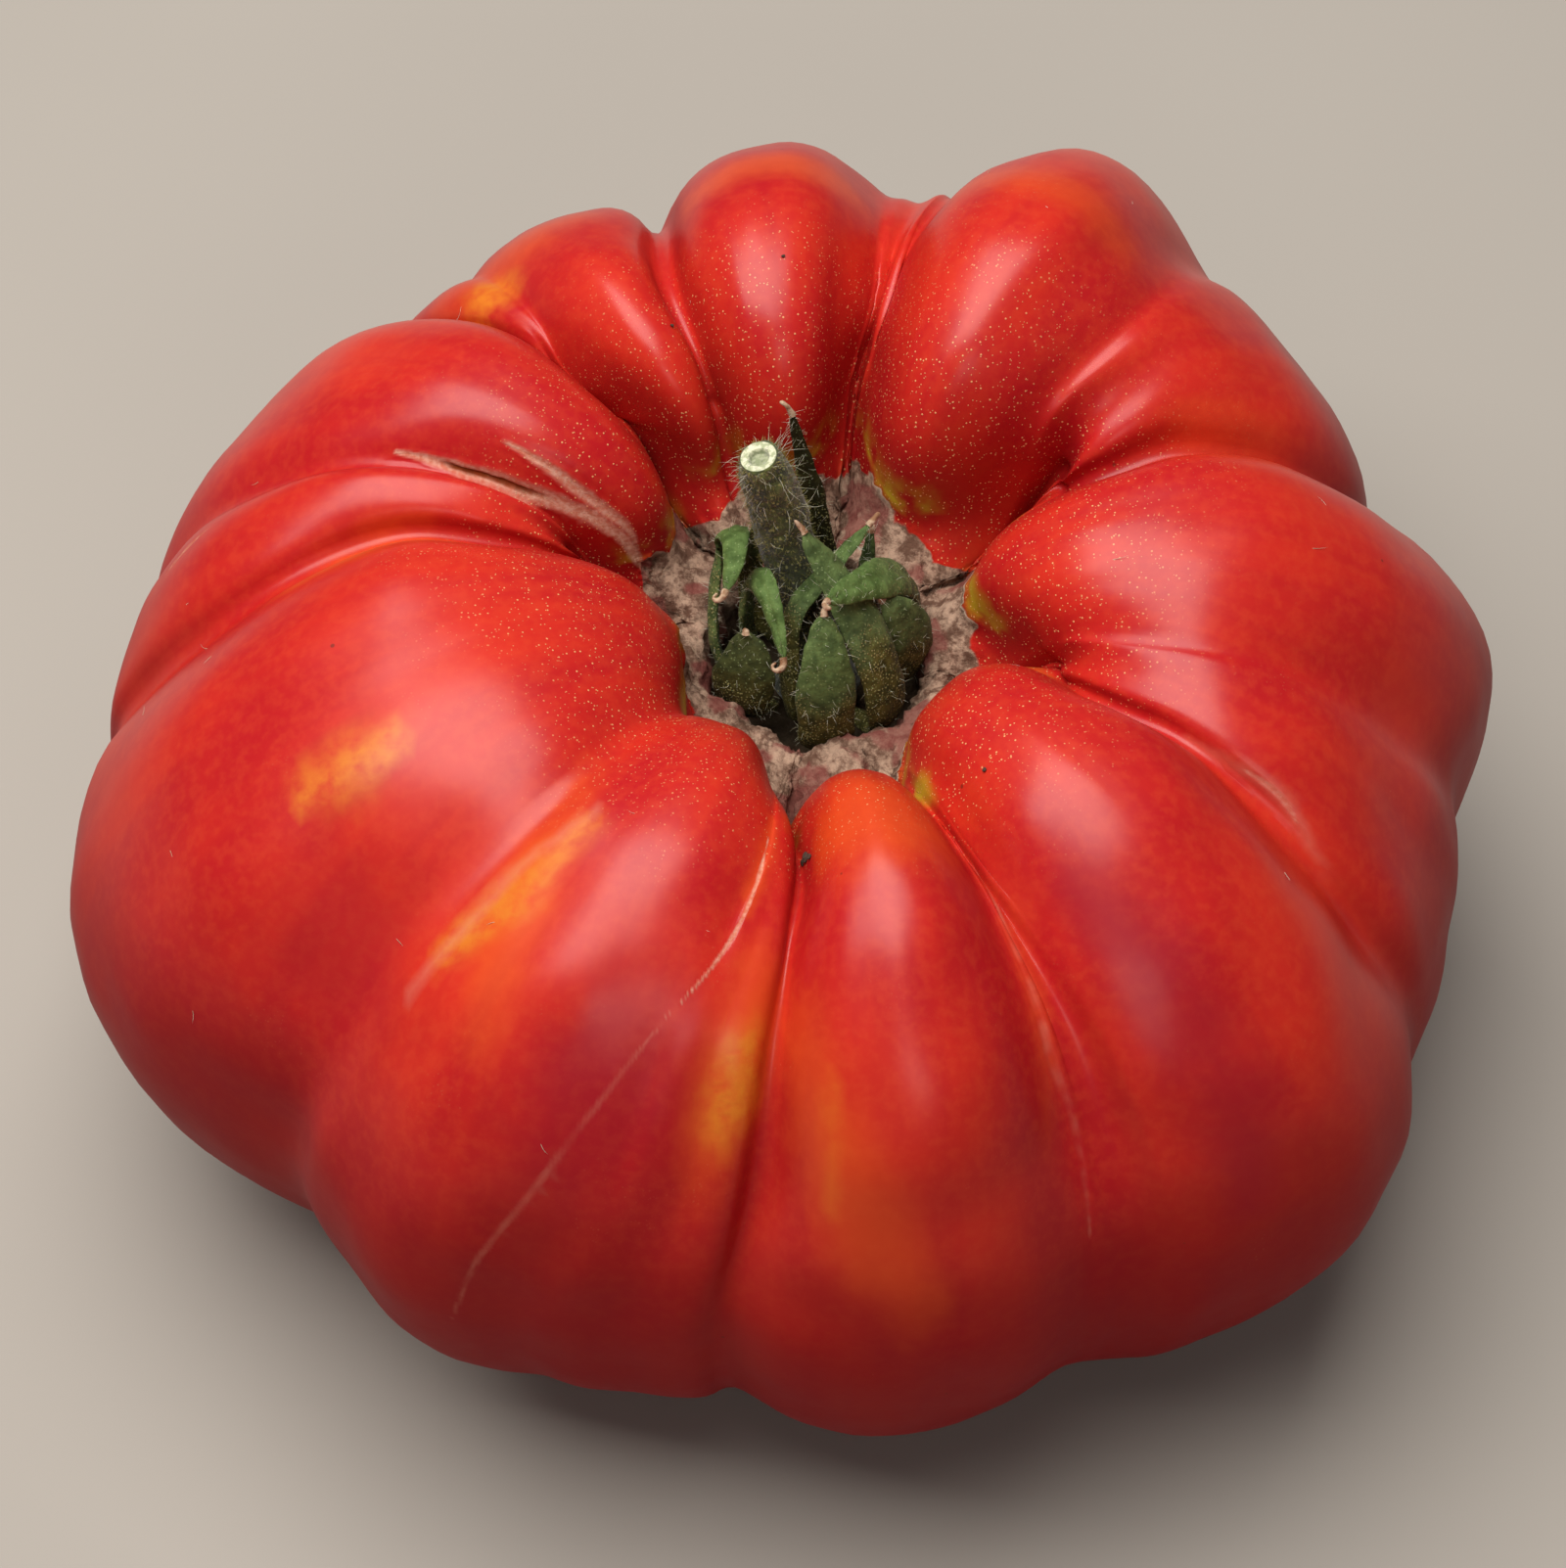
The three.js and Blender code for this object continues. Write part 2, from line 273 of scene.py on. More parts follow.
def smooth_mesh(work, name, levels):
    """The bmesh as a finished mesh, after that many levels of subdivision."""
    rough = bpy.data.meshes.new(name + "_rough")
    work.to_mesh(rough)
    work.free()
    carrier = bpy.data.objects.new(name + "_carrier", rough)
    bpy.context.scene.collection.objects.link(carrier)
    rounded = carrier.modifiers.new("rounded", "SUBSURF")
    rounded.levels = rounded.render_levels = levels
    view = bpy.context.evaluated_depsgraph_get()
    mesh = bpy.data.meshes.new_from_object(carrier.evaluated_get(view))
    mesh.name = name
    bpy.data.objects.remove(carrier)
    bpy.data.meshes.remove(rough)
    mesh.shade_smooth()
    return mesh


def points_of(mesh, what="co"):
    """The mesh's points, or their normals, as rows of three numbers."""
    values = np.zeros(len(mesh.vertices) * 3)
    mesh.vertices.foreach_get(what, values)
    return values.reshape(-1, 3)


def set_points(mesh, points):
    mesh.vertices.foreach_set("co", points.astype(np.float32).ravel())
    mesh.update()


def set_mask(mesh, name, values, kind="FLOAT"):
    """Writes a number, or three, on each point, for the material to read."""
    layer = mesh.attributes.get(name) or mesh.attributes.new(name, kind, "POINT")
    layer.data.foreach_set("value" if kind == "FLOAT" else "vector", np.asarray(values, np.float32).ravel())


def get_mask(mesh, name):
    values = np.zeros(len(mesh.vertices), np.float32)
    mesh.attributes[name].data.foreach_get("value", values)
    return values.astype(float)


def rise(values, low, high):
    """0 below low and 1 above high, with a smooth rise between."""
    share = np.clip((np.asarray(values) - low) / (high - low), 0, 1)
    return share * share * (3 - 2 * share)


FRUIT_LEVELS = 2
BLOSSOM_END = Vector((0, 0, 0))
fruit_work = grid_copy("tomato_fruit", BLOSSOM_END)
quads = sum(len(f.verts) == 4 for f in fruit_work.faces)
print("fruit grid:", len(fruit_work.verts), "vertices,", quads, "quads of", len(fruit_work.faces), "faces")
AXIS = pole_of(fruit_work, BLOSSOM_END).co.copy()  # only its x and y matter: the stalk stands above it
fruit_mesh = smooth_mesh(fruit_work, "tomato_skin", FRUIT_LEVELS)
print("fruit mesh:", len(fruit_mesh.vertices), "vertices, axis at", [round(c, 4) for c in AXIS])

# %% [markdown]
# ## Crisp furrows
# Subdivision rounds everything alike, but the furrows between the ribs are narrow and deep. The cure is the
# one that sharpens a picture: compare the skin with a smoothed copy, and push each point a bit further away
# from that copy. Two furrows are soft ones, so there the points move towards the smoothed copy instead. The
# same comparison, with a much smoother copy, tells how deep in a furrow each point lies.

# %% Sharpening, and the depth of the furrows
SMALL_SMOOTHING, MIDDLE_SMOOTHING, LARGE_SMOOTHING = 14, 40, 70
SHARPENING, SOFTENING = 1.1, 0.9
MOST_RAISED, MOST_SUNK = 0.12, 0.8  # millimetres of ridge and of furrow that the sharpening works on
SOFT_FURROWS = {84: 5, 293: 5}  # bearing and half width in degrees
skin = points_of(fruit_mesh)
normals = points_of(fruit_mesh, "normal")
pairs = np.zeros(len(fruit_mesh.edges) * 2, int)
fruit_mesh.edges.foreach_get("vertices", pairs)
one, other = pairs.reshape(-1, 2).T
links = np.bincount(one, minlength=len(skin)) + np.bincount(other, minlength=len(skin))


def averaged(values, times):
    """Each value blended with its neighbours' mean, again and again."""
    for _ in range(times):
        total = np.bincount(one, values[other], len(values)) + np.bincount(other, values[one], len(values))
        values = (values + total / links) / 2
    return values


def sunk(times):
    """How many millimetres each point lies under a smoothed copy of the skin."""
    smoothed = np.stack([averaged(skin[:, axis], times) for axis in range(3)], 1)
    return np.einsum("ij,ij->i", smoothed - skin, normals) / MM


hollow = sunk(LARGE_SMOOTHING)
aside = skin[:, :2] - np.array(AXIS[:2])
bearings = np.degrees(np.arctan2(aside[:, 1], aside[:, 0])) % 360
soft = np.max([np.exp(-(((bearings - at) / wide) ** 2)) for at, wide in SOFT_FURROWS.items()], 0)
soft *= rise(np.hypot(*aside.T) / MM, 19, 25) * rise(skin[:, 2] / MM, 5, 20)
deepened = np.clip(sunk(SMALL_SMOOTHING), -MOST_RAISED, MOST_SUNK) * SHARPENING
filled = sunk(MIDDLE_SMOOTHING) * SOFTENING
skin = skin - normals * ((deepened * (1 - soft) - filled * soft) * MM)[:, None]
set_points(fruit_mesh, skin)
set_mask(fruit_mesh, "hollow", hollow)
print("furrows to", round(hollow.max(), 1), "mm, ribs to", round(-hollow.min(), 1), "mm")

# %% [markdown]
# ## Paths on the skin
# Cracks, scars and streaks are lines on the fruit. A path is given by a few bearings from the stalk and
# pitches above the middle of the fruit, in degrees, and is laid on the skin in steps of a quarter of a
# millimetre. On the shoulders, where the pitch says little, millimetres from the stalk's axis take its place.

# %% Laying a path on the skin
CORE_HEIGHT = 35
CORE = Vector((AXIS.x, AXIS.y, CORE_HEIGHT * MM))
OUTSIDE = 0.2  # metres: further out than any part of the fruit
STEP = 0.25
PATH_SMOOTHINGS = 30
skin_tree = BVHTree.FromPolygons([Vector(q) for q in skin], [f.vertices[:] for f in fruit_mesh.polygons])


def on_skin(bearing, pitch):
    """The outermost point of the skin in that direction from the core, and its normal."""
    turn, lift = math.radians(bearing), math.radians(pitch)
    ray = Vector((math.cos(turn) * math.cos(lift), math.sin(turn) * math.cos(lift), math.sin(lift)))
    return skin_tree.ray_cast(CORE + ray * OUTSIDE, -ray)[:2]


def under(bearing, reach):
    """The skin straight below a point at that bearing and that many millimetres from the stalk."""
    turn = math.radians(bearing)
    above = CORE + Vector((math.cos(turn) * reach, math.sin(turn) * reach, 100)) * MM
    return skin_tree.ray_cast(above, Vector((0, 0, -1)))[:2]


def lay(*corners, find=on_skin):
    """Points along a path over the skin."""
    laid = []
    for corner, following in zip(corners, corners[1:]):
        gap = (find(*following)[0] - find(*corner)[0]).length
        steps = max(1, round(gap / MM / STEP))
        for k in range(steps):
            laid.append(find(*(a + (b - a) * k / steps for a, b in zip(corner, following)))[0])
    for _ in range(PATH_SMOOTHINGS):
        laid[1:-1] = [(a + b * 2 + c) / 4 for a, b, c in zip(laid, laid[1:], laid[2:])]
    return laid


def beside(path):
    """For each point of the skin, its distance to a path in millimetres and the place along it, 0 to 1."""
    tree = KDTree(len(path))
    for k, point in enumerate(path):
        tree.insert(point, k)
    tree.balance()
    found = [tree.find(Vector(q)) for q in skin]
    return np.array([f[2] for f in found]) / MM, np.array([f[1] for f in found]) / len(path)


LONG_SPLIT = lay((164.2, 38), (164.3, 32), (163.7, 26), (162, 22.5), (159.5, 19.2), (155, 16), find=under)
FURROW_LINE = lay((293, 41), (292.7, 36), (292.8, 30), (292.5, 25), (293.4, 20), (293, 14), (292.5, 8))
CRACKS = {  # path, half width in millimetres
    "hairline": (lay((262, 47), (262, 44), (261.2, 41), (259.8, 38), (257.6, 35), (255, 32)), 0.24),
    "long_split": (LONG_SPLIT, 1.0),
    "short_split": (lay((160, 29), (160.3, 25), (160.2, 22), (158.8, 19.4), (156, 17), find=under), 0.7),
    "right_scar": (lay((331, 34), (331, 30), (330, 27)), 0.4),
    "left_scratch": (lay((173, 18), (171, 24)), 0.35),
    "flank_line": (lay((255, 32), (252, 27), (249, 21), (246, 14), (243, 7), (241, -2)), 0.42),
    "furrow_line": (FURROW_LINE, 0.55),
}
print({name: len(path) for name, (path, _) in CRACKS.items()})

# %% [markdown]
# ## Finer mesh where the cracks are
# The skin's quads are almost a millimetre wide, and a crack is narrower. Subdividing only the faces beside
# the paths gives the cracks enough points, and leaves the rest of the fruit light.

# %% Refining beside the cracks
FINE_REACH = 1.6  # millimetres on each side of a crack
FINE_ROUNDS = 2


def crack_distance():
    """How far each point of the skin is from the nearest crack, in millimetres."""
    return np.min([beside(path)[0] for path, _ in CRACKS.values()], 0)


distance = crack_distance()
refined = bmesh.new()
refined.from_mesh(fruit_mesh)
refined.verts.ensure_lookup_table()
for _ in range(FINE_ROUNDS):
    close = [e for e in refined.edges if all(distance[v.index] < FINE_REACH for v in e.verts)]
    bmesh.ops.subdivide_edges(refined, edges=close, cuts=1, use_grid_fill=True)
    refined.verts.index_update()
    refined.to_mesh(fruit_mesh)
    skin = points_of(fruit_mesh)
    distance = crack_distance()
refined.free()
fruit_mesh.shade_smooth()
normals = points_of(fruit_mesh, "normal")
print("refined to", len(fruit_mesh.vertices), "vertices")

# %% [markdown]
# ## The corky basin
# Where the calyx sat on the young fruit, the skin has split and healed as cork: a grey-brown star whose
# points run out along the furrows. Its edge is where the red skin rises from the basin, so a height does for
# it, made ragged by noise, and each point of the star ends at its own distance from the stalk. The cork
# itself is moved out and in by ridged noise, because it is rough enough to cast shadows, and its edge is a
# thin dry lip.

# %% Noise at every point
along, hollow = get_mask(fruit_mesh, "along"), get_mask(fruit_mesh, "hollow")
aside = skin[:, :2] - np.array(AXIS[:2])
radius = np.hypot(*aside.T) / MM
azimuth = np.arctan2(aside[:, 1], aside[:, 0])
height = skin[:, 2] / MM


def field(points, size, octaves=3):
    """Fractal noise from about -1 to 1, with features of that size in millimetres."""
    scale = 1 / (size * MM)
    return np.array([noise.fractal(Vector(q) * scale, 1.0, 2.0, octaves) for q in points])


ragged = field(skin, 3.5)
fine = field(skin, 1.1)
print("noise from", round(ragged.min(), 2), "to", round(ragged.max(), 2))

# %% The cork star
BASIN_EDGE = 56.2  # millimetres up, where the skin begins on the noses of the ribs
FURROW_EDGE = 5.5  # and how much higher the cork reaches in the furrows
STAR = {  # bearing, millimetres: the noses of the ribs and the points of the star between them
    2: 13.5, 31: 18.5, 43: 13.5, 62: 14, 81: 20, 99: 15.5, 112: 18, 122: 16, 132: 20.5, 147: 15, 154: 17.5,
    163: 15, 174: 13, 216: 13, 226: 15.5, 243: 16.5, 254: 20, 261: 28, 269: 21.5, 281: 19, 293: 22, 301: 16,
    318: 14.5, 338: 18.5, 350: 14,
}
RING_STEPS = 320  # how finely the way from the blossom end to the basin is cut up
ring = np.round(along * RING_STEPS).astype(int)
ring_height = np.bincount(ring, height) / np.maximum(np.bincount(ring), 1)
dip = ring_height[ring] - height  # how much lower a point is than its ring's mean
uneven = height + ragged * 0.9 + fine * 0.3 - FURROW_EDGE * rise(dip, 0.8, 5)
limit = np.interp(np.degrees(azimuth), list(STAR), list(STAR.values()), period=360) + 0.8 * ragged
basin = (1 - rise(radius, limit - 0.9, limit + 1.7)) * (height > 30)
cork = (1 - rise(uneven, BASIN_EDGE - 1.1, BASIN_EDGE + 1.1)) * basin
lip = rise(uneven, BASIN_EDGE - 0.9, BASIN_EDGE) * (1 - rise(uneven, BASIN_EDGE, BASIN_EDGE + 0.5)) * basin
beyond = rise(radius, limit + 1, limit + 4)
halo = rise(uneven, BASIN_EDGE - 0.4, BASIN_EDGE + 0.4)
halo *= 1 - rise(uneven, BASIN_EDGE + 0.5, BASIN_EDGE + 4.5)
halo *= (1 - beyond) * (height > 30)
halo = np.maximum(halo, rise(dip, 0.5, 3) * rise(radius, limit - 1, limit) * (1 - beyond))
halo *= 1 - cork
ridges = 1 - np.abs(field(skin, 2.4, 4)) * 2.4
move = cork * (0.42 * ridges - 0.35 + 0.34 * fine) + 0.25 * lip
around = field(np.stack([np.cos(azimuth), np.sin(azimuth), height * 0.02], 1) * 2.2 * MM, 1, 2)
pit_rim = rise(height, 46, 50) * (1 - rise(radius, 11, 15)) * (height < 60) * (radius > 6)
inward = 1.6 * (around + 0.15) * pit_rim + 0.5 * field(skin, 2) * pit_rim
print("cork points:", int((cork > 0.5).sum()))

# %% [markdown]
# ## Skin that grew
# A real rib isn't a clean loft: it swells and sinks by a fraction of a millimetre, and faint flutes run from
# the stem to the blossom end. The flutes' noise is read in coordinates that are stretched along the rib.

# %% Swellings and flutes
grain = np.stack([np.cos(azimuth), np.sin(azimuth), along * 0.55], 1)
swelling = field(skin, 14, 2) * 0.5
flutes = np.array([noise.fractal(Vector(g) * 9, 1.0, 2.0, 2) for g in grain]) * 0.22
move += (swelling + flutes) * (1 - cork) * rise(radius, 12, 26) * rise(height, 3, 12)
print("skin moved by up to", round(np.abs(move).max(), 2), "mm")

# %% [markdown]
# ## Cracks, scars and lines
# The two splits on the left shoulder are healed: shallow corky gullies, and in the long one a dark slit that
# is still open. The hairline is a thread of dry skin that fades to a pale band down the flank. Each crack is
# narrow at both ends. Underneath, where the flower dropped off, there is a small dry scar.


# %% Cutting the cracks
def band(name, reach=1.0):
    """Distance from a crack's middle in its own half widths, its place along it, and how open it is there."""
    path, width = CRACKS[name]
    away, place = beside(path)
    taper = np.sin(np.pi * np.clip(place * 0.96 + 0.02, 0, 1)) ** 0.8
    return away / (width * reach * (0.1 + 0.9 * taper) * (1 + 0.2 * fine)), place


scar, slit = np.zeros(len(skin)), np.zeros(len(skin))
for name in ("long_split", "short_split"):
    away, place = band(name)
    away_open = band(name, 0.34)[0]
    opened = rise(place, 0.12, 0.2) * (1 - rise(place, 0.4, 0.55)) * (name == "long_split")
    strength = (0.62 + 0.38 * rise(place, 0.35, 0.7)) if name == "long_split" else 0.72
    scar = np.maximum(scar, (1 - rise(away, 0.3, 1.25)) * strength)
    slit = np.maximum(slit, (1 - rise(away_open, 0.6, 1.1)) * opened)
    move += 0.05 * np.exp(-((away - 1) ** 2) * 9) - 0.1 * (1 - rise(away, 0.2, 0.9))
    move -= 0.4 * (1 - rise(away_open, 0.3, 1.1)) * opened
DRY_LINES = (("hairline", 0.06, 0.55), ("right_scar", 0.04, 0.25), ("left_scratch", 0.04, 0.5))
for name, depth, strength in DRY_LINES:
    away = band(name)[0]
    scar = np.maximum(scar, (1 - rise(away, 0.4, 1.1)) * strength)
    move -= depth * (1 - rise(away, 0.2, 1))
away = band("flank_line")[0]
pale = (1 - rise(away, 0.2, 1.2)) * (0.35 + 0.3 * ragged)
away = band("furrow_line")[0]
pale = np.maximum(pale, (1 - rise(away, 0.1, 1.2)) * (0.3 + 0.6 * ragged))
move -= 0.04 * (1 - rise(away, 0, 1.4))
resting = height < 0.3
blossom = np.hypot(*(skin[:, :2] - skin[resting][:, :2].mean(0)).T) / MM + 1.2 * ragged + 0.5 * fine
scar = np.maximum(scar, (1 - rise(blossom, 3.4, 4.4)) * (height < 12) * 0.9)
grown = skin + normals * move[:, None] * MM
grown[:, :2] -= (aside / np.maximum(np.hypot(*aside.T), MM)[:, None]) * (inward * MM)[:, None]
grown[:, 2] = np.maximum(grown[:, 2], 0)
set_points(fruit_mesh, grown)
print("scar points:", int((scar > 0.5).sum()), "open:", int((slit > 0.5).sum()))

# %% [markdown]
# ## Marks on the skin, and painted shade
# Yellow patches, pale streaks beside the furrows, amber ridges and crimson patches; the crimson streak down
# the front-right flank is painted shade. An oval is given by its bearing and pitch, its half length and half
# width in millimetres, and how far it is turned from the rib's own direction. A streak follows a path with a
# half width.


# %% Ovals and streaks
def oval(bearing, pitch, length, width, turned):
    """How much of an oval mark each point has, from 0 to 1."""
    spot, normal = on_skin(bearing, pitch)
    down = (spot - CORE) * Vector((1, 1, 0)) - Vector((0, 0, 1)) * 0.01
    down = (down - normal * down.dot(normal)).normalized()
    down = Matrix.Rotation(math.radians(turned), 3, normal) @ down
    across = normal.cross(down)
    offset = (skin - np.array(spot)) / MM
    share = np.hypot(offset @ np.array(down) / length, offset @ np.array(across) / width)
    share += 0.2 * ragged + 0.1 * fine + 2 * rise(np.abs(offset @ np.array(normal)), 4, 9)
    return 1 - rise(share, 0.3, 1.15)


def streak(width, *corners):
    """How much of a streak each point has, from 0 to 1."""
    away, place = beside(lay(*corners))
    taper = 0.55 + 0.45 * np.sin(np.pi * place)
    return 1 - rise(away / (width * taper) + 0.3 * ragged + 0.12 * fine, 0.1, 1.25)


YELLOW = [
    streak(3.6, (210.3, 32), (211.3, 36), (212.3, 40)),
    streak(2.7, (238.5, 44), (237, 41), (235, 36), (232, 31), (231, 28.5)),
    oval(262, 26, 6.8, 2.8, 0),
    streak(2.2, (181.5, 34), (178.5, 39), (176.5, 44)) * 0.4,
    oval(132, 32, 3.6, 3.4, 0),
    streak(1.5, (271, 28), (271, 22), (271, 17)) * 0.3,
]
AMBER = [
    streak(3.6, (182, 32), (179, 38.4), (177, 46)),
    oval(262, 27, 12, 4, 0),
    oval(280, 50, 8, 9, 0),
    oval(236, 36, 15, 4, 10),
    oval(95, 40, 3.5, 11, 0),
    oval(60, 43, 4, 15, 0) * 0.7,
    oval(128, 30, 5, 12, 0) * 0.8,
    oval(272, 20, 22, 5, 0) * 0.7,
    oval(293, 30, 16, 1.6, 0) * 0.4,
    oval(20, 35, 9, 9, 0) * 0.4,
    streak(1.4, (262, 48), (262, 44), (261, 40)) * 0.8,
]
yellow = np.max(YELLOW, 0)
amber = np.max(AMBER, 0)
pale = np.maximum(pale, streak(0.9, (238, 45), (233, 37), (231, 28), (230, 24)) * 0.5)
pale = np.maximum(pale, streak(1.0, (331, 38), (331, 30), (329, 22)) * 0.35)
# darker red: the streak down the front-right flank is painted shade, the two ovals are crimson patches on the
# front left
CRIMSON = [
    streak(5.5, (301, 38), (304, 29), (306, 20), (305, 8)) * 0.9,
    oval(250, 25, 16, 9, 0) * 0.7,
    oval(222, 24, 11, 8, 0) * 0.6,
]
crimson = np.max(CRIMSON, 0)
masks = {"cork": cork, "lip": lip, "halo": halo, "radius": radius, "scar": scar, "slit": slit, "pale": pale}
masks.update({"yellow": yellow, "amber": amber, "crimson": crimson})
for name, values in masks.items():
    set_mask(fruit_mesh, name, values)
set_mask(fruit_mesh, "grain", grain, "FLOAT_VECTOR")
print({name: int((values > 0.5).sum()) for name, values in masks.items()})

# %% [markdown]
# ## The skin's finish
# Under the wax the flesh is orange-red on the ribs; painted shade darkens it to crimson low down, on steep
# sides, where it is also a deeper red of its own, and in the furrows. Golden specks, a quarter of a
# millimetre across, crowd round the basin and thin out over the shoulders. The wax is thickest where the skin
# faces up. The cork shares the material, by its mask, so the two meet without a seam, and deep in the pit it
# is painted nearly black as shade.

# %% The skin and cork material
p = Recipe("tomato_skin", Coat_Roughness=0.32, Specular_IOR_Level=0.03, Coat_IOR=1.5)
level = p.upward()
facing_up = p.upward(p.node("ShaderNodeTexCoord", {}, {}, "Normal"))
blotches = p.cloud(55, 3.0) * 0.6 + p.cloud(9, 4.0, 0.6, p.grain("grain")) * 0.4
red = p.mix(p.ramp(blotches, 0.36, 0.66), (0.47, 0.009, 0.012), (0.63, 0.027, 0.012))
red = p.mix(p.ramp(p.cloud(900, 2.0, 0.6), 0.35, 0.75) * 0.22, red, (0.72, 0.075, 0.022))
# painted shade: the red is darkened towards the bottom of the fruit, below about 52 mm up
red = p.mix((1 - p.ramp(level, 0.004, 0.052)) * 0.92, red, (0.22, 0.003, 0.005))
# partly the deeper red of a tomato's sides, partly painted shade on skin that faces sideways or down
red = p.mix((1 - p.ramp(facing_up, 0.05, 0.75)) * 0.55, red, (0.26, 0.004, 0.009))
# painted shade: the deeper a point lies in a furrow, the darker its red
red = p.mix(p.ramp(p.mask("hollow"), 0.4, 2.4) * 0.7, red, (0.36, 0.006, 0.014))
# the crimson mask darkens the red; its streak down the front-right flank is painted shade
red = p.mix(p.mask("crimson") * 0.7, red, (0.33, 0.006, 0.018))
red = p.mix(p.mask("amber") * 0.5, red, (0.78, 0.1, 0.01))
red = p.mix(p.mask("yellow") * p.ramp(p.cloud(700, 3.0), 0.05, 0.75), red, (0.7, 0.19, 0.015))
red = p.mix(p.mask("pale") * (0.3 + p.cloud(800, 3.0) * 0.7), red, (0.68, 0.24, 0.16))
red = p.mix(p.mask("halo") * p.ramp(p.cloud(300), 0.36, 0.66), red, (0.48, 0.33, 0.02))
near = (1 - p.ramp(p.mask("radius"), 12, 44)) + p.cloud(120) * 0.9
specks = p.dots(1800, 0.2, 0.75) + p.dots(2700, 0.2, 0.6)
specks = specks * p.ramp(near, 0.5, 1.3) * p.ramp(level, 0.02, 0.04)
red = p.mix(specks * 0.85, red, (0.93, 0.48, 0.2))
red = p.mix(p.dots(210, 0.05, 0.3) * 0.7, red, (0.12, 0.02, 0.01))
bark = p.mix(p.ramp(p.cloud(620, 5.0, 0.72), 0.4, 0.62), (0.18, 0.095, 0.063), (0.59, 0.39, 0.275))
bark = p.mix(p.ramp(p.cloud(230, 2.0), 0.5, 0.58) * 0.75, bark, (0.27, 0.07, 0.06))
# painted shade: cork below about 47 to 52 mm up, down in the pit, is darkened nearly to black
bark = p.mix((1 - p.ramp(level, 0.0465, 0.0525)) * 0.92, bark, (0.05, 0.038, 0.022))
bark = p.mix(p.mask("lip") * 0.9, bark, (0.7, 0.54, 0.4))
crust = p.mix(p.ramp(p.cloud(2300, 3.0), 0.3, 0.7), (0.62, 0.28, 0.17), (0.8, 0.55, 0.4))
crust = p.mix(p.mask("slit"), crust, (0.11, 0.075, 0.015))
colour = p.mix(p.mask("scar") * (0.75 + p.cloud(1200, 2.0) * 0.4), red, crust)
colour = p.mix(p.ramp(p.mask("cork"), 0.44, 0.54), colour, bark)
dry = p.mask("cork") + p.mask("scar")
rough = p.mask("cork") + p.mask("scar") * 0.25
pores = p.cloud(1400, 2.0) * (0.1 + p.mask("yellow") * 0.4)
relief = pores + specks * 0.5 + rough * p.cloud(1300, 6.0, 0.75) * 7
wax = p.ramp(level, 0.024, 0.058) * (0.14 + p.ramp(facing_up, 0.2, 0.75) * 0.58)
skin_material = p.finish(
    Base_Color=colour,
    Roughness=0.38 + (p.mask("yellow") + p.mask("pale")) * 0.15 + p.cloud(300, 3.0) * 0.1 + dry * 0.4,
    Coat_Weight=(1 - p.ramp(dry, 0.1, 0.5)) * wax,
    Normal=p.bump(relief, 0.09 * MM, 0.9),
)


def show(mesh, name, node, slot, *materials):
    """Puts a finished mesh in the scene, riding on the fruit, in place of its node."""
    for material in materials:
        mesh.materials.append(material)
    piece = bpy.data.objects.new(name, mesh)
    bpy.context.scene.collection.objects.link(piece)
    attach(piece, "root")
    if node:
        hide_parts(node)


show(fruit_mesh, "tomato_skin", "tomato_fruit", "fruit_skin", skin_material)
print("skin nodes:", len(p.tree.nodes))

# %% [markdown]
# ## Growing a thin thing
# Hairs and dry tips are both drawn out of a little disc: the disc is extruded step by step along a line, and
# gets smaller on the way. One function does both.


# %% Hairs and dry tips
def draw_out(work, line, widths, sides):
    """A closed thread along a line, with its half widths in metres."""
    heading = (line[1] - line[0]).normalized()
    first = Matrix.Translation(line[0]) @ heading.to_track_quat("Z", "Y").to_matrix().to_4x4()
    disc = {"cap_ends": True, "segments": sides, "radius": widths[0], "matrix": first}
    made = bmesh.ops.create_circle(work, **disc)["verts"]
    face = made[0].link_faces[0]
    for k in range(1, len(line)):
        face = bmesh.ops.extrude_discrete_faces(work, faces=[face])["faces"][0]
        bent = (line[k] - line[k - 1]).normalized()
        swing = heading.rotation_difference(bent).to_matrix()
        ratio = widths[k] / widths[k - 1]
        for v in face.verts:
            v.co = line[k] + swing @ (v.co - line[k - 1]) * ratio
        heading = bent
        made += face.verts[:]
    return made


def hair_line(root, way, length, droop, steps=3):
    """A line from the root that bends a little on its way."""
    bend = Vector(dice.normal(0, 1, 3)) * droop
    return [root + way * length * (k / steps) + bend * length * (k / steps) ** 2 for k in range(steps + 1)]


print("threads are drawn out")

# %% [markdown]
# ## The stalk
# The stalk was cut just below its knuckle. It is a rough, furry, olive-green rod, a little waisted, and its
# cut end shows a thin green rind, a cream ring of wood and a hollow pith. Insetting the end face makes the
# rings, and pushing the last ones down makes the hollow.

# %% The stalk's shape
HUB_HEIGHT = 46
HUB = Vector((AXIS.x, AXIS.y, HUB_HEIGHT * MM))
stalk_work = grid_copy("stalk", HUB)
cut_pole = pole_of(stalk_work, HUB + Vector((0, 0, 1)))
stalk_along = stalk_work.verts.layers.float["along"]
bmesh.ops.dissolve_verts(stalk_work, verts=[cut_pole])
end_face = max(stalk_work.faces, key=lambda f: f.calc_center_median().z - 0.01 * (len(f.verts) < 8))
END_RINGS = [(0.14, 0.03), (0.08, -0.08), (0.5, 0.02), (0.1, -0.08), (0.12, -0.5), (0.1, 0)]  # width, rise
for thickness, depth in END_RINGS:
    bmesh.ops.inset_region(stalk_work, faces=[end_face], thickness=thickness * MM, depth=depth * MM)
    for v in end_face.verts:
        v[stalk_along] += 0.2
end_centre = end_face.calc_center_median()
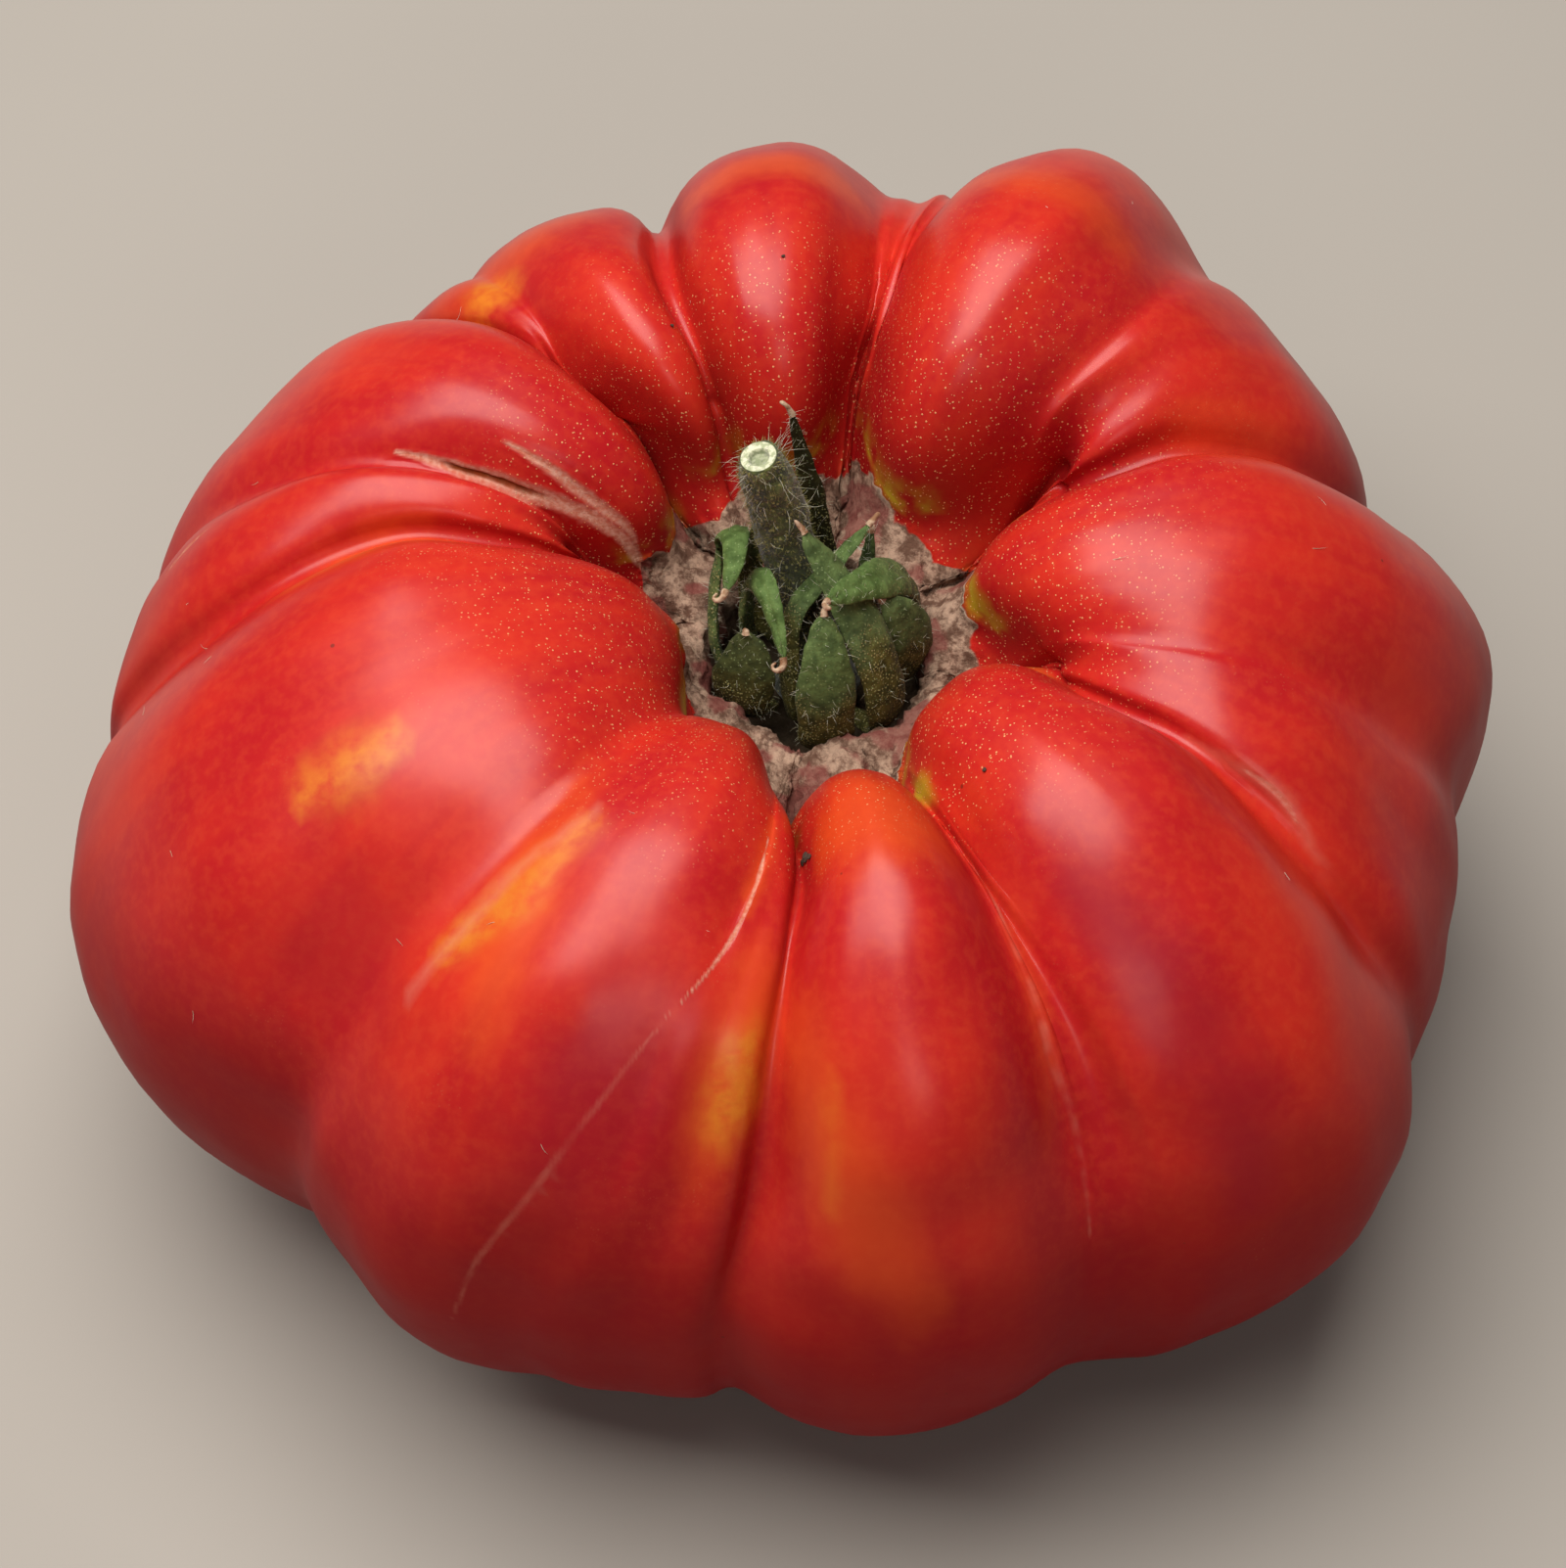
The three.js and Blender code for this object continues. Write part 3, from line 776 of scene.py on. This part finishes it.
stalk_mesh = smooth_mesh(stalk_work, "stalk", 3)
stalk_points, stalk_normals = points_of(stalk_mesh), points_of(stalk_mesh, "normal")
stalk_place = get_mask(stalk_mesh, "along")
pebbles = field(stalk_points, 0.9, 3)
side = stalk_place < 1.02
stalk_points += stalk_normals * ((0.16 * pebbles + 0.12 * field(stalk_points, 3)) * side * MM)[:, None]
set_points(stalk_mesh, stalk_points)
print("stalk end at", [round(c / MM, 1) for c in end_centre], "vertices:", len(stalk_points))

# %% The stalk's finish
p = Recipe("stalk_green", Roughness=0.75, Specular_IOR_Level=0.3, Sheen_Weight=0.35, Sheen_Roughness=0.5)
green = p.mix(p.ramp(p.cloud(700, 4.0, 0.65), 0.36, 0.64), (0.024, 0.034, 0.007), (0.12, 0.14, 0.03))
# painted shade: the stalk is darkened below about 56 to 73 mm up, where it stands down among the sepals
green = p.mix((1 - p.ramp(p.upward(), 0.056, 0.073)) * 0.75, green, (0.014, 0.016, 0.004))
green = p.mix(p.dots(2600, 0.36, 0.8) * 0.75, green, (0.38, 0.37, 0.12))
wood = p.mix(p.ramp(p.cloud(2400, 3.0), 0.4, 0.6), (0.42, 0.45, 0.26), (0.8, 0.78, 0.55))
wood = p.mix(p.ramp(p.mask("along") + p.cloud(1500) * 0.3, 1.9, 2.1) * 0.7, wood, (0.2, 0.23, 0.12))
cut = p.ramp(p.mask("along"), 1.12, 1.22)
stalk_relief = p.cloud(2600, 4.0, 0.7) + p.dots(2600, 0.4, 0.6) * 0.8
stalk_material = p.finish(
    Base_Color=p.mix(cut, green, wood),
    Normal=p.bump(stalk_relief, 0.12 * MM),
)
show(stalk_mesh, "stalk_rod", "stalk", "stalk_green", stalk_material)
print("stalk nodes:", len(p.tree.nodes))

# %% [markdown]
# ## The stalk's fur
# A short fuzz covers the rod, and long white hairs stand off it near the cut.

# %% Fuzz and long hairs
FUZZ, LONG_HAIRS = 2400, 110
FUZZ_WIDTH, HAIR_WIDTH, FRINGE_WIDTH, FIBRE_WIDTH = 0.022, 0.026, 0.02, 0.028  # half, in millimetres


def hair_finish(name, dull, pale_end):
    """Hair that isn't the same colour everywhere."""
    q = Recipe(name, Roughness=0.6, Specular_IOR_Level=0.3)
    return q.finish(Base_Color=q.mix(q.ramp(q.cloud(500), 0.4, 0.6), dull, pale_end))


white_hair = hair_finish("hair_white", (0.45, 0.45, 0.3), (0.75, 0.75, 0.6))
olive_hair = hair_finish("hair_olive", (0.14, 0.14, 0.03), (0.42, 0.38, 0.12))


def furred(name, slot, tint, points, ways, lengths, width, droop=0.25):
    """One piece with a hair on each point."""
    work = bmesh.new()
    for point, way, length in zip(points, ways, lengths):
        line = hair_line(Vector(point), Vector(way).normalized(), length * MM, droop)
        widths = [width * MM * w for w in (1, 0.8, 0.55, 0.15)]
        draw_out(work, line, widths, 3)
    bmesh.ops.recalc_face_normals(work, faces=work.faces)
    mesh = bpy.data.meshes.new(name)
    work.to_mesh(mesh)
    work.free()
    mesh.shade_smooth()
    show(mesh, name, None, slot, tint)


on_side = np.flatnonzero((stalk_place > 0.3) & side)
picked = dice.choice(on_side, FUZZ)
lean = dice.normal(0, 0.45, (FUZZ, 3))
lengths = dice.uniform(0.25, 0.6, FUZZ)
ways = stalk_normals[picked] + lean
furred("stalk_fuzz", "stalk_green", olive_hair, stalk_points[picked], ways, lengths, FUZZ_WIDTH, 0.15)
upper = np.flatnonzero((stalk_place > 0.55) & side)
chance = rise(stalk_place[upper], 0.6, 0.95) + 0.12
picked = dice.choice(upper, LONG_HAIRS, p=chance / chance.sum())
lean = dice.normal(0, 0.35, (LONG_HAIRS, 3))
lengths = dice.uniform(0.9, 2.2, LONG_HAIRS)
ways = stalk_normals[picked] + lean
furred("stalk_hairs", "stalk_green", white_hair, stalk_points[picked], ways, lengths, HAIR_WIDTH)
print("hairs on the stalk:", FUZZ + LONG_HAIRS)

# %% [markdown]
# ## The sepals
# Eleven sepals have curled back over the stalk's root. Each is thick and furry with a keel down its back,
# olive and glandular where it bends out of the pit, green higher up, and dry at its tip, which has shrunk to
# a hook. The copies are rounded, wrinkled along their length, and given hooks that are drawn out of their
# tips.

# %% The sepals' shape
# How green a sepal is, from 0 olive to 1 bright green, and below 0 painted darker as shade; the length of its
# dry hook in millimetres; how many degrees the hook curls; how many millimetres it is broader on each side at
# its elbow and further up.
LOOK = {
    "sepal_front": (0.5, 0.7, 40, 0.45, 0.62),
    "sepal_front_right": (0.45, 1.2, 20, 0.45, 0.5),
    "sepal_right": (0.3, 0.8, 120, 0.6, 0.4),
    "sepal_back_right": (0.75, 1.3, 150, 0.3, 0.3),
    "sepal_back_right_thin": (0.4, 0.9, 60, 0.1, 0.1),
    # the back sepal and the broad left one have values below 0, for painted shade
    "sepal_back": (-0.6, 1.5, 70, 0.2, 0.15),
    "sepal_back_left": (0.3, 0.8, 60, 0.3, 0.2),
    "sepal_left_thin": (0.9, 2.2, 260, 0.25, 0.3),
    "sepal_left_curled": (0.9, 1.9, 240, 0.1, 0.3),
    "sepal_left_broad": (-0.3, 0.5, 160, 0.5, 0.8),
    "sepal_middle": (0.6, 1.4, 60, 0.3, 0.3),
}
HOOK_STEPS = 8


def curl(start, way, side_way, length, turn):
    """A line that leaves along a way and curls towards the side."""
    axis = way.cross(side_way).normalized()
    line = [start]
    for k in range(HOOK_STEPS):
        share = (k + 1) / HOOK_STEPS
        heading = Matrix.Rotation(math.radians(turn) * share * share, 3, axis) @ way
        line.append(line[-1] + heading * (length / HOOK_STEPS))
    return line


def sepal_mesh(name):
    """A sepal's skin: rounded, wrinkled and hooked."""
    freshness_and_shade, hook_length, hook_turn, elbow, upper = LOOK[name]
    work = grid_copy(name, HUB)
    layer = work.verts.layers.float["along"]
    tip = max(work.verts, key=lambda v: v[layer])
    before = [v.co for v in work.verts if 0.78 < v[layer] < 0.9]
    way = (tip.co - sum(before, Vector()) / len(before)).normalized()
    side_way = Vector((dice.normal(), dice.normal(), -0.4)).normalized()
    hook = curl(tip.co - way * 0.35 * MM, way, side_way, hook_length * 1.25 * MM, hook_turn)
    widths = [MM * (0.42 - 0.24 * k / HOOK_STEPS) for k in range(HOOK_STEPS)] + [0.08 * MM]
    for v in draw_out(work, hook, widths, 7):
        v[layer] = 1.2
    bmesh.ops.recalc_face_normals(work, faces=work.faces)
    mesh = smooth_mesh(work, name, 2)
    place = get_mask(mesh, "along")
    points, outward = points_of(mesh), points_of(mesh, "normal")
    wrinkles = field(points * [1, 1, 0.45], 1.3, 3) * 0.13 + field(points, 0.6, 2) * 0.05
    broad = elbow * rise(place, 0.1, 0.28) * (1 - rise(place, 0.35, 0.6))
    broad += upper * rise(place, 0.4, 0.6) * (1 - rise(place, 0.8, 0.97))
    for at in np.unique(np.round(place[place <= 1], 4)):
        row = np.abs(place - at) < 1e-4
        middle = points[row].mean(0)
        offset = points[row] - middle
        lateral = np.linalg.svd(offset, full_matrices=False)[2][0]
        reach = offset @ lateral
        half = np.abs(reach).max() + 1e-9
        reach_mm = broad[row] * reach / half
        keel = 0.16 * np.exp(-((reach / half / 0.22) ** 2)) * rise(place[row], 0.15, 0.35)
        points[row] += (reach_mm[:, None] * lateral - keel[:, None] * outward[row]) * MM
    points += outward * (wrinkles * rise(place, 0.02, 0.2) * MM)[:, None]
    set_points(mesh, points)
    set_mask(mesh, "freshness_and_shade", np.full(len(points), freshness_and_shade))
    return mesh


print("sepals that have a look:", len(LOOK))


# %% The sepals' finish
p = Recipe("sepal_green", Roughness=0.62, Specular_IOR_Level=0.15, Sheen_Weight=0.04, Sheen_Roughness=0.4)
place, freshness_and_shade = p.mask("along"), p.mask("freshness_and_shade")
mottle = p.ramp(p.cloud(900, 4.0, 0.6), 0.32, 0.68)
olive = p.mix(mottle, (0.034, 0.034, 0.007), (0.115, 0.1, 0.022))
leaf = p.mix(mottle, (0.045, 0.066, 0.022), (0.11, 0.155, 0.05))
bright = p.mix(mottle, (0.056, 0.098, 0.022), (0.125, 0.2, 0.055))
upward = p.ramp(place + p.cloud(350) * 0.3, 0.55, 0.9)
body = p.mix(p.ramp(freshness_and_shade * 0.5 + upward * 0.6, 0.25, 0.6), olive, leaf)
body = p.mix(p.ramp(freshness_and_shade + upward * 0.5, 0.75, 1.3), body, bright)
# painted shade: sepals whose first value is below 0 are darkened nearly to black
body = p.mix((1 - p.ramp(freshness_and_shade, -0.65, 0.05)) * 0.8, body, (0.014, 0.013, 0.004))
glands = p.dots(3800, 0.4, 0.95) * p.ramp((1 - upward) + p.cloud(500) * 0.7, 0.6, 1.15)
body = p.mix(glands * 0.8, body, (0.42, 0.38, 0.14))
body = p.mix(p.dots(3200, 0.3, 0.5) * 0.45, body, (0.3, 0.38, 0.16))
husk = p.mix(p.ramp(p.cloud(1600, 3.0), 0.36, 0.64), (0.28, 0.14, 0.07), (0.62, 0.45, 0.3))
sepal_material = p.finish(
    Base_Color=p.mix(p.ramp(place + p.cloud(1200) * 0.06, 0.99, 1.06), body, husk),
    Normal=p.bump(p.cloud(1900, 5.0, 0.65) + glands, 0.16 * MM),
)
sepal_meshes = {name: sepal_mesh(name) for name in SEPALS}
for name, mesh in sepal_meshes.items():
    show(mesh, name + "_skin", name, "sepal_green", sepal_material)
print("sepal points:", sum(len(m.vertices) for m in sepal_meshes.values()))

# %% [markdown]
# ## Fine hairs on the sepals
# The margins carry a fringe of white hairs, about a millimetre long, and the backs a thin down.

# %% The fringe
FRINGE_HAIRS = 110  # on each sepal
for name, mesh in sepal_meshes.items():
    points, outward, place = points_of(mesh), points_of(mesh, "normal"), get_mask(mesh, "along")
    usable = np.flatnonzero((place > 0.25) & (place < 0.97))
    chosen = dice.choice(usable, FRINGE_HAIRS)
    ways = outward[chosen] + dice.normal(0, 0.4, (len(chosen), 3))
    sizes = dice.uniform(0.3, 1.0, len(chosen))
    fringe = name.replace("sepal_", "fringe_")
    furred(fringe, "sepal_green", white_hair, points[chosen], ways, sizes, FRINGE_WIDTH)
print("fringes:", len(sepal_meshes))

# %% [markdown]
# ## Dust from the garden
# A grain of soil sticks in the front furrow with a few smaller ones round it, and short fibres lie on the
# skin.

# %% Soil and fibres
skin_tree = BVHTree.FromPolygons([Vector(q) for q in grown], [f.vertices[:] for f in fruit_mesh.polygons])
GRAINS = [  # bearing, pitch, millimetres
    (268, 44, 0.5),
    (268.6, 44.4, 0.28),
    (267.5, 43.2, 0.3),
    (300, 50, 0.2),
    (96, 52, 0.18),
    (118, 50, 0.22),
]
soil = bmesh.new()
for bearing, pitch, size in GRAINS:
    spot, normal = on_skin(bearing, pitch)
    seat = Matrix.Translation(spot + normal * 0.12 * MM) @ normal.to_track_quat("Z", "Y").to_matrix().to_4x4()
    flat = Matrix.Diagonal((1, 0.8, 0.45, 1))
    bmesh.ops.create_icosphere(soil, subdivisions=3, radius=size * MM, matrix=seat @ flat)
for v in soil.verts:
    v.co += noise.noise_vector(v.co / (0.25 * MM)) * 0.09 * MM
soil_mesh = bpy.data.meshes.new("soil_grains")
soil.to_mesh(soil_mesh)
soil.free()
q = Recipe("soil", Roughness=0.9)
soil_finish = q.finish(Base_Color=q.mix(q.cloud(3000), (0.02, 0.01, 0.006), (0.09, 0.05, 0.03)))
show(soil_mesh, "soil_grains", None, "fruit_skin", soil_finish)
FIBRES = 26
bearings, pitches = dice.uniform(0, 360, FIBRES), dice.uniform(12, 55, FIBRES)
seats = [on_skin(bearing, pitch) for bearing, pitch in zip(bearings, pitches)]
flat_ways = [Vector(dice.normal(0, 1, 3)).cross(normal).normalized() + normal * 0.25 for _, normal in seats]
starts = [spot - normal * 0.02 * MM for spot, normal in seats]
furred("fibres", "fruit_skin", white_hair, starts, flat_ways, dice.uniform(0.5, 1.6, FIBRES), FIBRE_WIDTH)
print("grains:", len(GRAINS), "fibres:", FIBRES)
